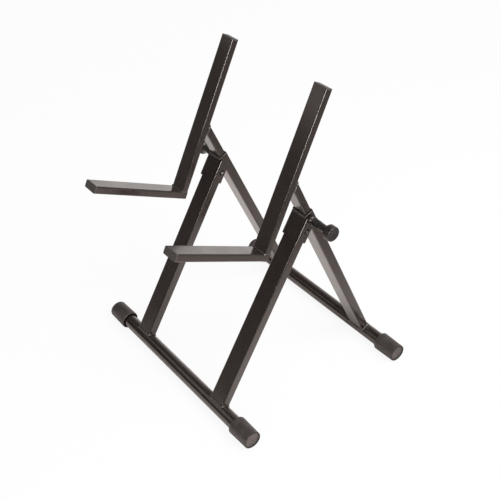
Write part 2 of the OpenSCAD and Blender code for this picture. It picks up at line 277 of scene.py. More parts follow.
rubValues = {
    "colour": (0.048, 0.043, 0.040, 1),
    "amount": 0.45,
    "stretch": (1.0, 1.0, 0.02),  # across, across, along the tube
    "lineScale": 900.0,
    "lines": (0.56, 0.72),
    "roughness": 0.15,  # added where the coat is rubbed
}


def makeRubGroup(values):
    # long fine lines where a tube slides in another
    tree, given, out = newTree(
        "slidingRub",
        "ShaderNodeTree",
        [("Vector", "NodeSocketVector", None), ("Colour", "NodeSocketColor", None),
         ("Rubbed Colour", "NodeSocketColor", None), ("Roughness", "NodeSocketFloat", 0.3),
         ("Amount", "NodeSocketFloat", 0.3)],
        [("Colour", "NodeSocketColor"), ("Roughness", "NodeSocketFloat")],
    )
    fine = noise(tree, given["Vector"], values["lineScale"], detail=2.0, roughness=0.65)
    lines = remap(tree, fine, *values["lines"])
    mask = math2(tree, "MULTIPLY", lines, given["Amount"], clamp=True)
    added = math2(tree, "MULTIPLY", mask, values["roughness"])
    tree.links.new(mixColour(tree, mask, given["Colour"], given["Rubbed Colour"]), out["Colour"])
    tree.links.new(math2(tree, "ADD", given["Roughness"], added), out["Roughness"])
    return tree


def makePaintedHighlightMiddleGroup():
    # a bolt's head on the folding axis: its paler middle is a painted highlight, and its flank keeps the
    # coat's dark colour, which is in part painted shade of a gap round the head
    tree, given, out = newTree(
        "paintedHighlightMiddle",
        "ShaderNodeTree",
        [("Vector", "NodeSocketVector", None), ("Axis", "NodeSocketVector", None),
         ("Colour", "NodeSocketColor", None), ("Bare Colour", "NodeSocketColor", None),
         ("Inner", "NodeSocketFloat", 0.0013), ("Outer", "NodeSocketFloat", 0.0020)],
        [("Colour", "NodeSocketColor")],
    )
    flat = addNode(tree, "ShaderNodeVectorMath", operation="MULTIPLY")
    tree.links.new(given["Vector"], flat.inputs[0])
    flat.inputs[1].default_value = (0, 1, 1)  # leaves out the way along the axis
    away = addNode(tree, "ShaderNodeVectorMath", operation="DISTANCE")
    tree.links.new(flat.outputs[0], away.inputs[0])
    tree.links.new(given["Axis"], away.inputs[1])
    # where the painted highlight lies: full inside the inner radius, gone past the outer
    mask = remap(tree, away.outputs["Value"], given["Inner"], given["Outer"], 1.0, 0.0)
    tree.links.new(mixColour(tree, mask, given["Colour"], given["Bare Colour"]), out["Colour"])
    return tree


def makePaintedShadeGroup():
    # painted shade and light on a moulding: its colour darker and its gloss duller where the painted value
    # is low, and its colour paler where it is high
    tree, given, out = newTree(
        "paintedCapShadeAndLight",
        "ShaderNodeTree",
        [("Colour", "NodeSocketColor", None), ("Roughness", "NodeSocketFloat", 0.5),
         ("Shade", "NodeSocketFloat", 1.0), ("Dull", "NodeSocketFloat", 0.95),
         ("Darkest", "NodeSocketFloat", 0.2)],
        [("Colour", "NodeSocketColor"), ("Roughness", "NodeSocketFloat")],
    )
    scaled = addNode(tree, "ShaderNodeVectorMath", operation="SCALE")
    tree.links.new(given["Colour"], scaled.inputs[0])
    tree.links.new(given["Shade"], scaled.inputs["Scale"])
    tree.links.new(scaled.outputs[0], out["Colour"])
    dulled = remap(tree, given["Shade"], given["Darkest"], 1.0, given["Dull"], given["Roughness"])
    tree.links.new(dulled, out["Roughness"])
    return tree


grainGroup = makeGrainGroup()
handlingGroup = makeHandlingGroup(handlingValues)
dustGroup = makeDustGroup(dustValues)
rubGroup = makeRubGroup(rubValues)
paintedHighlightMiddleGroup = makePaintedHighlightMiddleGroup()
paintedShadeGroup = makePaintedShadeGroup()
print("shared effects built")

# finishes: one for each material slot, and one for the weld beads and rims

finishes = {
    "frameCoat": {
        "colour": (0.0155, 0.0096, 0.0080, 1),
        "scuffed": (0.030, 0.0245, 0.0220, 1),
        "smooth": 0.17, "rough": 0.24, "cloudScale": 26.0, "scuffs": 0.35,
        "ior": 1.65, "tint": (1.0, 0.88, 0.83, 1), "coat": 0.5, "coatRoughness": 0.15,
        "grainScale": 2600.0, "waveScale": 480.0, "waveShare": 0.40,
        "grainDepth": 0.00005, "bump": 0.08, "dust": 0.03, "dustScale": 70.0,
    },
    # the dark colour stands in part for painted shade round the bolt's head; the paler colour below is a
    # painted highlight on the head's middle
    "fastenerCoat": {
        "colour": (0.007, 0.0058, 0.0053, 1),
        "scuffed": (0.05, 0.047, 0.045, 1),
        "smooth": 0.42, "rough": 0.56, "cloudScale": 160.0, "scuffs": 0.5,
        "ior": 1.33, "tint": (1.0, 0.96, 0.94, 1), "paintedHighlight": (0.34, 0.32, 0.31, 1),
        "grainScale": 3200.0, "waveScale": 900.0, "waveShare": 0.4,
        "grainDepth": 0.00005, "bump": 0.2, "dust": 0.02, "dustScale": 200.0,
    },
    "weldCoat": {
        "colour": (0.040, 0.034, 0.032, 1),
        "scuffed": (0.10, 0.095, 0.09, 1),
        "smooth": 0.20, "rough": 0.34, "cloudScale": 220.0, "scuffs": 0.6,
        "ior": 1.9, "tint": (1.0, 0.95, 0.93, 1),
        "grainScale": 3000.0, "waveScale": 900.0, "waveShare": 0.4,
        "grainDepth": 0.00006, "bump": 0.3, "dust": 0.05, "dustScale": 200.0,
    },
    "housingCoat": {
        "colour": (0.016, 0.0130, 0.0122, 1),
        "scuffed": (0.05, 0.047, 0.045, 1),
        "smooth": 0.28, "rough": 0.42, "cloudScale": 180.0, "scuffs": 0.5,
        "ior": 1.34, "tint": (1.0, 0.96, 0.94, 1),
        "grainScale": 3200.0, "waveScale": 900.0, "waveShare": 0.4,
        "grainDepth": 0.00005, "bump": 0.2, "dust": 0.02, "dustScale": 200.0,
    },
    "brightSteel": {
        "colour": (0.40, 0.38, 0.365, 1),
        "scuffed": (0.16, 0.153, 0.147, 1),
        "smooth": 0.28, "rough": 0.45, "cloudScale": 140.0, "scuffs": 0.6,
        "ior": 1.5, "tint": (1, 1, 1, 1), "metallic": 1.0,
        "grainScale": 3600.0, "waveScale": 1200.0, "waveShare": 0.3,
        "grainDepth": 0.00004, "bump": 0.2, "dust": 0.0, "dustScale": 200.0,
    },
    "endCap": {
        "colour": (0.033, 0.0240, 0.0216, 1),
        "scuffed": (0.055, 0.048, 0.045, 1),
        "smooth": 0.44, "rough": 0.54, "cloudScale": 45.0, "scuffs": 0.4,
        # the caps' colour is scaled by painted shade and light held on their points
        "ior": 1.7, "tint": (1.0, 0.95, 0.93, 1), "paintedShadeAndLightBy": "paintedShadeAndLight",
        "grainScale": 1800.0, "waveScale": 500.0, "waveShare": 0.3,
        "grainDepth": 0.00012, "bump": 0.35, "dust": 0.10, "dustScale": 90.0,
    },
    "tubePlug": {
        "colour": (0.074, 0.062, 0.058, 1),
        "scuffed": (0.11, 0.10, 0.096, 1),
        "smooth": 0.44, "rough": 0.58, "cloudScale": 90.0, "scuffs": 0.4,
        "ior": 1.5, "tint": (1.0, 0.97, 0.95, 1),
        "grainScale": 2400.0, "waveScale": 600.0, "waveShare": 0.4,
        "grainDepth": 0.00006, "bump": 0.25, "dust": 0.05, "dustScale": 120.0,
    },
    "knobPlastic": {
        "colour": (0.022, 0.0182, 0.0170, 1),
        "scuffed": (0.05, 0.045, 0.043, 1),
        "smooth": 0.20, "rough": 0.32, "cloudScale": 80.0, "scuffs": 0.35,
        "ior": 1.52, "tint": (1.0, 0.97, 0.95, 1),
        "grainScale": 2600.0, "waveScale": 420.0, "waveShare": 0.5,
        "grainDepth": 0.00005, "bump": 0.2, "dust": 0.03, "dustScale": 120.0,
    },
}


def place(tree, group, **values):
    # adds a shared effect; an underscore in a name stands for the space in the socket's
    node = addNode(tree, "ShaderNodeGroup", node_tree=group)
    for name, value in values.items():
        feed(tree, node.inputs[name.replace("_", " ")], value)
    return node.outputs


def makeFinish(name, values, rub=None):
    material = bpy.data.materials.new(name)
    material.use_nodes = True
    tree = material.node_tree
    shader = tree.nodes["Principled BSDF"]
    position = addNode(tree, "ShaderNodeTexCoord").outputs
    handled = place(
        tree, handlingGroup, Vector=position["Object"], Colour=values["colour"],
        Scuffed_Colour=values["scuffed"], Smooth=values["smooth"], Rough=values["rough"],
        Scale=values["cloudScale"], Scuffs=values["scuffs"],
    )
    colour, roughness = handled["Colour"], handled["Roughness"]
    if rub:
        along = addNode(tree, "ShaderNodeMapping")
        along.inputs["Rotation"].default_value = (math.radians(stand["rearSlope"] - 90), 0, 0)
        along.inputs["Scale"].default_value = rub["stretch"]
        tree.links.new(position["Object"], along.inputs["Vector"])
        rubbed = place(
            tree, rubGroup, Vector=along.outputs[0], Colour=colour, Rubbed_Colour=rub["colour"],
            Roughness=roughness, Amount=rub["amount"],
        )
        colour, roughness = rubbed["Colour"], rubbed["Roughness"]
    # painted highlight: a paler middle on the bolt's head, round the folding axis
    if "paintedHighlight" in values:
        colour = place(
            tree, paintedHighlightMiddleGroup, Vector=position["Object"], Axis=(0, *stand["pivot"]), Colour=colour,
            Bare_Colour=values["paintedHighlight"],
        )["Colour"]
    # painted shade and light, read from the piece's attribute: darker on the caps' end edge and recess,
    # paler on their end faces
    if "paintedShadeAndLightBy" in values:
        shade = addNode(tree, "ShaderNodeAttribute", attribute_name=values["paintedShadeAndLightBy"]).outputs["Fac"]
        shaded = place(tree, paintedShadeGroup, Colour=colour, Roughness=roughness, Shade=shade)
        colour, roughness = shaded["Colour"], shaded["Roughness"]
    if values["dust"]:
        colour = place(
            tree, dustGroup, Vector=position["Object"], Normal=position["Normal"], Colour=colour,
            Amount=values["dust"], Scale=values["dustScale"],
        )["Colour"]
    grain = place(
        tree, grainGroup, Vector=position["Object"], Grain_Scale=values["grainScale"],
        Wave_Scale=values["waveScale"], Wave_Share=values["waveShare"],
    )
    bump = addNode(tree, "ShaderNodeBump")
    bump.inputs["Strength"].default_value = values["bump"]
    bump.inputs["Distance"].default_value = values["grainDepth"]
    tree.links.new(grain["Height"], bump.inputs["Height"])
    tree.links.new(colour, shader.inputs["Base Color"])
    tree.links.new(roughness, shader.inputs["Roughness"])
    tree.links.new(bump.outputs["Normal"], shader.inputs["Normal"])
    shader.inputs["IOR"].default_value = values["ior"]
    shader.inputs["Specular Tint"].default_value = values["tint"]
    shader.inputs["Metallic"].default_value = values.get("metallic", 0.0)
    shader.inputs["Coat Weight"].default_value = values.get("coat", 0.0)
    shader.inputs["Coat Roughness"].default_value = values.get("coatRoughness", 0.03)
    return material


materials = {name: makeFinish(name, values) for name, values in finishes.items()}
materials["slidingCoat"] = makeFinish("slidingCoat", finishes["frameCoat"], rub=rubValues)

finishByStart = {
    "strut_": "slidingCoat",
    "pivot_": "fastenerCoat",
    "pin_housing_": "housingCoat",
    "pin_ring_": "brightSteel",
    "pin_spring_": "brightSteel",
    "plunger_": "brightSteel",
    "rear_cap_": "endCap",
    "front_cap_": "endCap",
    "backrest_plug_": "tubePlug",
    "arm_plug_": "tubePlug",
    "knob_": "knobPlastic",
}


def finishFor(nodeName):
    for start, finish in finishByStart.items():
        if nodeName.startswith(start):
            return materials[finish]
    return materials["frameCoat"]


for nodeName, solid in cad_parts.items():
    if not solid.material_slots:
        solid.data.materials.append(None)
    for materialSlot in solid.material_slots:
        materialSlot.material = finishFor(nodeName)
print("finishes given to the solids")

# weld beads: a tree that sweeps a rippled bead along each path

weldValues = {
    "ripple": 0.0013,  # length of one ripple
    "rippleDepth": 0.10,  # as a share of the bead's radius
    "wander": 0.16,  # how far the width wanders, as a share
    "wanderScale": 230.0,
    "step": 0.00026,
    "ringSides": 10,
    "seed": 7,
    "finish": "weldCoat",
    "footRadius": 0.0016,
    "strutRadius": 0.0014,
    "webRadius": 0.0013,
    "webEnd": 0.55,  # radius of the web's bead at its two ends, as a share
    "armFrontRadius": 0.0016,
    "armSideRadius": 0.0010,
    "sunk": 0.0005,  # depth of the flush seams' middle under the surface
}


def sweepRound(tree, curve, radius, sides):
    # a round bar along the curve, with that radius at each of its points
    setRadius = addNode(tree, "GeometryNodeSetCurveRadius")
    tree.links.new(curve, setRadius.inputs["Curve"])
    tree.links.new(radius, setRadius.inputs["Radius"])
    ring = addNode(tree, "GeometryNodeCurvePrimitiveCircle")
    ring.inputs["Radius"].default_value = 1.0
    tree.links.new(sides, ring.inputs["Resolution"])
    sweep = addNode(tree, "GeometryNodeCurveToMesh")
    tree.links.new(setRadius.outputs["Curve"], sweep.inputs["Curve"])
    tree.links.new(ring.outputs["Curve"], sweep.inputs["Profile Curve"])
    sweep.inputs["Fill Caps"].default_value = True
    if "Scale" in sweep.inputs:
        radiusInput = addNode(tree, "GeometryNodeInputRadius")
        tree.links.new(radiusInput.outputs[0], sweep.inputs["Scale"])
    return sweep.outputs["Mesh"]


def finishTree(tree, mesh, material, target):
    # every tree ends the same way: smooth, real geometry, with its material
    shade = addNode(tree, "GeometryNodeSetShadeSmooth")
    real = addNode(tree, "GeometryNodeRealizeInstances")
    paint = addNode(tree, "GeometryNodeSetMaterial")
    tree.links.new(mesh, shade.inputs["Geometry"])
    tree.links.new(shade.outputs["Geometry"], real.inputs["Geometry"])
    tree.links.new(real.outputs["Geometry"], paint.inputs["Geometry"])
    tree.links.new(material, paint.inputs["Material"])
    tree.links.new(paint.outputs["Geometry"], target)


def makeWeldTree():
    tree, given, out = newTree(
        "weldBead",
        "GeometryNodeTree",
        [("Geometry", "NodeSocketGeometry", None), ("Ripple", "NodeSocketFloat", 0.0013),
         ("Ripple Depth", "NodeSocketFloat", 0.1), ("Wander", "NodeSocketFloat", 0.15),
         ("Wander Scale", "NodeSocketFloat", 230.0), ("Step", "NodeSocketFloat", 0.00026),
         ("Ring Sides", "NodeSocketInt", 10), ("Seed", "NodeSocketInt", 7),
         ("Material", "NodeSocketMaterial", None)],
        [("Geometry", "NodeSocketGeometry")],
    )
    toCurve = addNode(tree, "GeometryNodeMeshToCurve")
    tree.links.new(given["Geometry"], toCurve.inputs["Mesh"])
    resample = addNode(tree, "GeometryNodeResampleCurve", mode="LENGTH")
    tree.links.new(toCurve.outputs["Curve"], resample.inputs["Curve"])
    tree.links.new(given["Step"], resample.inputs["Length"])
    along = addNode(tree, "GeometryNodeSplineParameter").outputs["Length"]
    phase = math2(tree, "MULTIPLY", math2(tree, "DIVIDE", along, given["Ripple"]), math.pi)
    scales = math2(tree, "ABSOLUTE", math2(tree, "SINE", phase))
    ripple = math2(tree, "ADD", 1.0, math2(tree, "MULTIPLY", scales, given["Ripple Depth"]))
    wanderNoise = addNode(tree, "ShaderNodeTexNoise", noise_dimensions="4D")
    tree.links.new(addNode(tree, "GeometryNodeInputPosition").outputs[0], wanderNoise.inputs["Vector"])
    tree.links.new(given["Seed"], wanderNoise.inputs["W"])
    tree.links.new(given["Wander Scale"], wanderNoise.inputs["Scale"])
    centred = math2(tree, "SUBTRACT", wanderNoise.outputs["Fac"], 0.5)
    swing = math2(tree, "MULTIPLY", math2(tree, "MULTIPLY", centred, 2.0), given["Wander"])
    wander = math2(tree, "ADD", 1.0, swing)
    size = addNode(tree, "GeometryNodeInputNamedAttribute", data_type="FLOAT")
    size.inputs["Name"].default_value = "beadSize"
    rippled = math2(tree, "MULTIPLY", size.outputs["Attribute"], ripple)
    radius = math2(tree, "MULTIPLY", rippled, wander)
    bead = sweepRound(tree, resample.outputs["Curve"], radius, given["Ring Sides"])
    finishTree(tree, bead, given["Material"], out["Geometry"])
    return tree


def runTree(name, mesh, tree, values):
    # gives the tree a mesh and its values, and returns the result as a plain mesh object
    source = bpy.data.objects.new(name + "Source", mesh)
    bpy.context.scene.collection.objects.link(source)
    modifier = source.modifiers.new("tree", "NODES")
    modifier.node_group = tree
    for socket in tree.interface.items_tree:
        if socket.in_out == "INPUT" and socket.name in values:
            modifier[socket.identifier] = values[socket.name]
    bpy.context.view_layer.update()
    evaluated = source.evaluated_get(bpy.context.evaluated_depsgraph_get())
    made = bpy.data.meshes.new_from_object(evaluated)
    made.name = name
    source.modifiers.remove(modifier)
    bpy.data.objects.remove(source)
    piece = bpy.data.objects.new(name, made)
    bpy.context.scene.collection.objects.link(piece)
    return piece


def roundRectLoop(width, thickness, radius, perCorner=6):
    # points around a tube's outline, counted from its front right corner
    loop = []
    corners = ((1, -1, -90), (1, 1, 0), (-1, 1, 90), (-1, -1, 180))
    for signX, signY, start in corners:
        cx, cy = signX * (width / 2 - radius), signY * (thickness / 2 - radius)
        for k in range(perCorner + 1):
            angle = math.radians(start + 90 * k / perCorner)
            loop.append((cx + radius * math.cos(angle), cy + radius * math.sin(angle)))
    return loop


def footPath(kind, side, values):
    # where a leg's outline meets its floor tube
    seat = seatOf(kind, side)
    loop = roundRectLoop(stand["legWidth"], stand["legThickness"], stand["legRound"])
    points = [placed(seat, x, y, math.sqrt(stand["crossRadius"] ** 2 - y * y)) for x, y in loop]
    return points, [values["footRadius"]] * len(points), True


def strutPath(side, values):
    # where the strut's outline meets the backrest's rear face
    leg, cradle = seatOf("rearLeg", side), seatOf("cradle", side)
    faceNormal = cradle[1][1]
    points = []
    for x, y in roundRectLoop(stand["barWidth"], stand["barThickness"], stand["barRound"]):
        start = placed(leg, x, y, 0)
        gap = stand["barThickness"] - (start - cradle[0]).dot(faceNormal)
        points.append(start + leg[1][2] * (gap / leg[1][2].dot(faceNormal)))
    return points, [values["strutRadius"]] * len(points), True


def armPath(side, values):
    # round the backrest's foot on the arm: an inner corner in front, flush seams elsewhere
    cradle = seatOf("cradle", side)
    points, sizes = [], []
    for x, y in roundRectLoop(stand["barWidth"], stand["barThickness"], stand["barRound"]):
        inFront = y < stand["barRound"] - stand["barThickness"] / 2
        sunk = 0 if inFront else values["sunk"]
        kept = 1 - sunk / math.hypot(x, y)
        points.append(placed(cradle, x * kept, y * kept + stand["barThickness"] / 2, 0))
        sizes.append(values["armFrontRadius"] if inFront else values["armSideRadius"])
    return points, sizes, True


def webPath(side, values):
    # across the bracket's upper edge, on the rear leg's front face
    leg = seatOf("rearLeg", side)
    half = stand["legWidth"] / 2 - stand["legRound"]
    shares = (-1, -0.9, -0.5, 0, 0.5, 0.9, 1)
    front = -stand["legThickness"] / 2
    points = [placed(leg, share * half, front, stand["webTop"]) for share in shares]
    sizes = [values["webRadius"] * (values["webEnd"] if abs(share) == 1 else 1) for share in shares]
    return points, sizes, False


def rimPath(side, values):
    # along the middle of the wall at the rear leg's open rim
    seat, wall = seatOf("rearLeg", side), stand["legWall"]
    width, thickness = stand["legWidth"] - wall, stand["legThickness"] - wall
    loop = roundRectLoop(width, thickness, stand["legRound"] - wall / 2)
    points = [placed(seat, x, y, stand["rearRim"]) for x, y in loop]
    return points, [values["radius"]] * len(points), True


def makeWelds(name, body, paths, tree, values):
    # each path is its points, the bead's radius at each of them, and whether it is closed
    vertices, edges, sizes = [], [], []
    for points, radii, closed in paths:
        first = len(vertices)
        vertices += points
        sizes += radii
        edges += [(first + k, first + k + 1) for k in range(len(points) - 1)]
        if closed:
            edges.append((len(vertices) - 1, first))
    mesh = bpy.data.meshes.new(name + "Path")
    mesh.from_pydata(vertices, edges, [])
    mesh.attributes.new("beadSize", "FLOAT", "POINT").data.foreach_set("value", sizes)
    piece = runTree(name, mesh, tree, {
        "Ripple": values["ripple"], "Ripple Depth": values["rippleDepth"],
        "Wander": values["wander"], "Wander Scale": values["wanderScale"], "Step": values["step"],
        "Ring Sides": values["ringSides"], "Seed": values["seed"],
        "Material": materials[values["finish"]],
    })
    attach(piece, body)
    print(name, "has", len(piece.data.polygons), "faces")


weldTree = makeWeldTree()
makeWelds("rearFrameWelds", "rear_frame", [
    path
    for side in stand["sides"]
    for path in (footPath("rearLeg", side, weldValues), webPath(side, weldValues))
], weldTree, weldValues)
makeWelds("frontFrameWelds", "front_frame", [
    footPath("frontLeg", side, weldValues) for side in stand["sides"]
], weldTree, weldValues)
for side in stand["sides"]:
    makeWelds(side + "CradleWelds", "cradle_" + side, [
        strutPath(side, weldValues), armPath(side, weldValues)
    ], weldTree, weldValues)

# the rounded, coated edge of the rear legs' rims

rimValues = {
    **weldValues,
    "radius": 0.00075,  # a little over half of the wall
    "rippleDepth": 0.0,
    "wander": 0.08,
}

makeWelds("rearRimEdges", "rear_frame", [
    rimPath(side, rimValues) for side in stand["sides"]
], weldTree, rimValues)

# threads on the locking pins' housings

threadValues = {
    "pitch": 0.00125,
    "start": 0.0026,  # from the rear leg's outer face
    "end": 0.0143,
    "core": 0.00572,
    "ridge": 0.00042,
    "runOut": 0.05,  # share of the length over which the thread fades
    "thinnest": 0.2,  # its ridge at the very end, as a share
    "stepsPerTurn": 48,
    "ringSides": 6,
}


def makeThreadTree():
    tree, given, out = newTree(
        "housingThread",
        "GeometryNodeTree",
        [("Geometry", "NodeSocketGeometry", None), ("Turns", "NodeSocketFloat", 9.0),
         ("Core", "NodeSocketFloat", 0.0057), ("Ridge", "NodeSocketFloat", 0.0004),
         ("Length", "NodeSocketFloat", 0.0117), ("Run Out", "NodeSocketFloat", 0.05),
         ("Thinnest", "NodeSocketFloat", 0.2), ("Steps", "NodeSocketInt", 48),
         ("Ring Sides", "NodeSocketInt", 6),
         ("Place", "NodeSocketVector", None), ("Turn", "NodeSocketRotation", None),
         ("Material", "NodeSocketMaterial", None)],
        [("Geometry", "NodeSocketGeometry")],
    )
    helix = addNode(tree, "GeometryNodeCurveSpiral")
    sources = {
        "Resolution": "Steps", "Rotations": "Turns", "Start Radius": "Core", "End Radius": "Core",
        "Height": "Length",
    }
    for name, source in sources.items():
        tree.links.new(given[source], helix.inputs[name])
    share = addNode(tree, "GeometryNodeSplineParameter").outputs["Factor"]
    fromEnd = math2(tree, "MINIMUM", share, math2(tree, "SUBTRACT", 1.0, share))
    fade = math2(tree, "DIVIDE", fromEnd, given["Run Out"], clamp=True)
    faded = remap(tree, fade, 0.0, 1.0, given["Thinnest"], 1.0, smooth=False)
    radius = math2(tree, "MULTIPLY", faded, given["Ridge"])
    ridge = sweepRound(tree, helix.outputs["Curve"], radius, given["Ring Sides"])
    move = addNode(tree, "GeometryNodeTransform")
    tree.links.new(ridge, move.inputs["Geometry"])
    tree.links.new(given["Place"], move.inputs["Translation"])
    tree.links.new(given["Turn"], move.inputs["Rotation"])
    finishTree(tree, move.outputs["Geometry"], given["Material"], out["Geometry"])
    return tree


def makeThread(side, tree, values):
    sign = stand["sides"][side]
    seat = seatOf("rearLeg", side)
    foot = placed(seat, sign * (stand["legWidth"] / 2 + values["start"]), 0, stand["pinUp"])
    length = values["end"] - values["start"]
    piece = runTree(side + "HousingThread", bpy.data.meshes.new(side + "ThreadSource"), tree, {
        "Turns": length / values["pitch"], "Core": values["core"], "Ridge": values["ridge"],
        "Length": length, "Run Out": values["runOut"], "Thinnest": values["thinnest"],
        "Steps": values["stepsPerTurn"], "Ring Sides": values["ringSides"],
        "Place": foot, "Turn": (0, sign * math.pi / 2, 0), "Material": materials["housingCoat"],
    })
    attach(piece, "rear_frame")
    print(piece.name, "has", len(piece.data.polygons), "faces")


threadTree = makeThreadTree()
for side in stand["sides"]:
    makeThread(side, threadTree, threadValues)

# end caps: soft turned mouldings with an open lip and a gate mark, with painted shade on the end's edge and
# in its recess, and painted light on the end face

capValues = {
    "radius": 0.015,  # at the mouth
    "endRadius": 0.0143,
    "length": 0.040,
    "mouthRound": 0.0026,  # of the mouth's outer edge, along the cap
    "mouthRise": 0.0017,  # and across it
    "endRound": 0.0014,
    "lipRadius": 0.0132,  # of the flared inside at the mouth
    "seatRadius": 0.01114,  # where the cap grips the tube
    "seatLength": 0.002,  # how much of that grip is drawn
    "lipDepth": 0.0080,
    "lipStart": 0.0006,  # depth at which the flared inside begins
    "recess": 0.0019,  # depth of the end face in its rim
    "recessLean": 0.00012,  # how far the rim's wall leans inwards on the way down
    "wallFoot": 0.0001,  # height of the wall's lowest ring over the end face
    "faceRings": (1.0, 0.985, 0.8, 0.5, 0.3),  # radii on the end face, as shares of its own
    "gateRadius": 0.0011,
    "gateDepth": 0.0010,
    "gateRings": ((1.15, 0), (1.0, 1 / 3), (0.7, 1)),  # shares of the gate's radius and depth
    "dish": 0.00015,  # how far the end face sinks towards its middle
    "edgePaintedShade": 0.45,  # painted shade: the colour of the end's rounded edge, as a share of the side's
    "wallPaintedShade": 0.08,  # painted shade of the rim's inner wall, where the recess lies in shadow
    "facePaintedLight": 2.2,  # painted light: the flat end face's colour, as a share of the side's
    "arcSteps": 7,
    "segments": 72,
    "tubeEnd": 0.1865,  # from the stand's middle to the end of the floor tube
    "capEnd": 0.003,  # how far the cap goes on beyond it
}


def arcPoints(cx, cy, across, along, start, end, steps):
    # an arc of an ellipse, from one angle in degrees to another
    angles = [math.radians(start + (end - start) * k / steps) for k in range(steps + 1)]
    return [(cx + across * math.cos(angle), cy + along * math.sin(angle)) for angle in angles]


def capOutline(values):
    # (radius, distance outward from the mouth) from inside the mouth, round to the middle of the
    # end face, and the painted shade and light at each of these points
    steps, mouth, rise, end = (values[name] for name in ("arcSteps", "mouthRound", "mouthRise", "endRound"))
    length, radius, endRadius = values["length"], values["radius"], values["endRadius"]
    outline = [
        (values["seatRadius"], values["lipDepth"] + values["seatLength"]),
        (values["seatRadius"], values["lipDepth"]),
        (values["lipRadius"], values["lipStart"]),
    ]
    outline += arcPoints(radius - rise, mouth, rise, mouth, 270, 360, steps)
    paintedLightShares = [1.0] * len(outline)
    outline += arcPoints(endRadius - end, length - end, end, end, 0, 90, steps)
    rim, floor = endRadius - end - values["recessLean"], length - values["recess"]
    outline.append((rim, floor + values["wallFoot"]))
    # painted shade: darker on the end's rounded edge and on the rim's inner wall
    paintedLightShares += [1.0] + [values["edgePaintedShade"]] * (steps - 1) + [values["wallPaintedShade"]] * 2
    outline += [(rim * share, floor - values["dish"] * (1 - share)) for share in values["faceRings"]]
    floor -= values["dish"]
    outline += [
        (values["gateRadius"] * across, floor - values["gateDepth"] * down)
        for across, down in values["gateRings"]
    ]
    # painted light: the flat end face paler than the side
    paintedLightShares += [values["facePaintedLight"]] * (len(outline) - len(paintedLightShares))
    return outline, paintedLightShares


def makeCap(name, node, body, y, sign, values):
    # turns the outline about the floor tube, and takes the place of the cap in the solids
    outline, paintedLightShares = capOutline(values)
    segments = values["segments"]
    mouthX = values["tubeEnd"] + values["capEnd"] - values["length"]
    built = bmesh.new()
    rings = []
    for radius, outward in outline:
        rings.append([
            built.verts.new((
                sign * (mouthX + outward),
                y + radius * math.cos(2 * math.pi * k / segments),
                stand["crossZ"] + radius * math.sin(2 * math.pi * k / segments),
            ))
            for k in range(segments)
        ])
    for low, high in zip(rings, rings[1:]):
        for k in range(segments):
            built.faces.new((low[k], low[(k + 1) % segments], high[(k + 1) % segments], high[k]))
    built.faces.new(rings[-1])
    built.faces.new(rings[0])
    bmesh.ops.recalc_face_normals(built, faces=built.faces)
    for face in built.faces:
        face.smooth = True
    mesh = bpy.data.meshes.new(name)
    built.to_mesh(mesh)
    built.free()
    # the painted shade and light of each ring, spread over its points
    spread = [shade for shade in paintedLightShares for k in range(segments)]
    mesh.attributes.new("paintedShadeAndLight", "FLOAT", "POINT").data.foreach_set("value", spread)
    mesh.materials.append(materials["endCap"])
    piece = bpy.data.objects.new(name, mesh)
    bpy.context.scene.collection.objects.link(piece)
    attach(piece, body)
    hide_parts(node)


for side, sign in stand["sides"].items():
    title = side.capitalize()
    makeCap("frontCap" + title, "front_cap_" + side, "front_frame", stand["frontY"], sign, capValues)
    makeCap("rearCap" + title, "rear_cap_" + side, "rear_frame", stand["rearY"], sign, capValues)
print("end caps turned")

# floor, world and lamps

studio = {
    "floorSize": 9.0,
    "floorColour": (0.95, 0.95, 0.95, 1),
    "whiteShare": 0.9,  # share of plain white in the floor that the camera sees
    "mirrorNear": (1.04, 0.955, 0.925, 1),  # the floor in the gloss, beside the stand
    "mirrorFar": (0.26, 0.240, 0.232, 1),  # and where it falls off
    "fallOff": (0.03, 0.62),  # metres from the middle, to the right and the rear
    "reach": (0.45, 1.30),  # metres from the middle, all round
    "fallTowards": 50.0,  # degrees from the right to the rear
    "domeLight": 0.62,
    "ceiling": 0.05,  # the dome in the gloss: overhead
    "horizon": (0.16, 0.44),  # added at the horizon, towards the front and towards the rear
    "horizonTurn": (-0.2, 0.6),  # the rearward share of the direction at which each holds
    "horizonTop": 0.24,  # sine of the height at which that has faded
    "rearGlow": 0.46,  # added towards the rear
    "rearFull": 0.8,  # the rearward share at which it is full
    "domeTint": (1.0, 0.945, 0.92, 1),
    "softBox": {"place": (1.25, 0.40, 1.55), "size": 1.5, "power": 27.0},
    "rearBox": {"place": (-1.45, 1.75, 0.30), "size": 1.5, "power": 2.2},
    "cornerLamp": {"place": (1.70, -1.55, 0.83), "size": 0.60, "power": 20.0},
    "keyLamp": {"place": (1.80, -0.80, 0.98), "size": 0.30, "power": 20.0},
    "glossOnly": ("cornerLamp", "keyLamp"),
    "lampAim": (0.0, 0.0, 0.22),
    "cardPlace": (-0.45, -0.68, 0.62),
    "cardSize": (0.45, 0.80),
    "cardColour": (0.80, 0.75, 0.735, 1),
}


def blendShaders(tree, factor, first, second):
    blend = addNode(tree, "ShaderNodeMixShader")
    for socket, value in zip(blend.inputs, (factor, first, second)):
        tree.links.new(value, socket)
    return blend.outputs[0]


def makeSheet(name, centre, width, depth):
    # a flat rectangle, and the empty node tree of its material
    corners = ((-1, -1), (1, -1), (1, 1), (-1, 1))
    points = [Vector(centre) + Vector((width / 2 * i, depth / 2 * j, 0)) for i, j in corners]
    mesh = bpy.data.meshes.new(name)
    mesh.from_pydata(points, [], [(0, 1, 2, 3)])
    sheet = bpy.data.objects.new(name, mesh)
    bpy.context.scene.collection.objects.link(sheet)
    material = bpy.data.materials.new(name)
    material.use_nodes = True
    material.node_tree.nodes.clear()
    mesh.materials.append(material)
    return sheet, material.node_tree


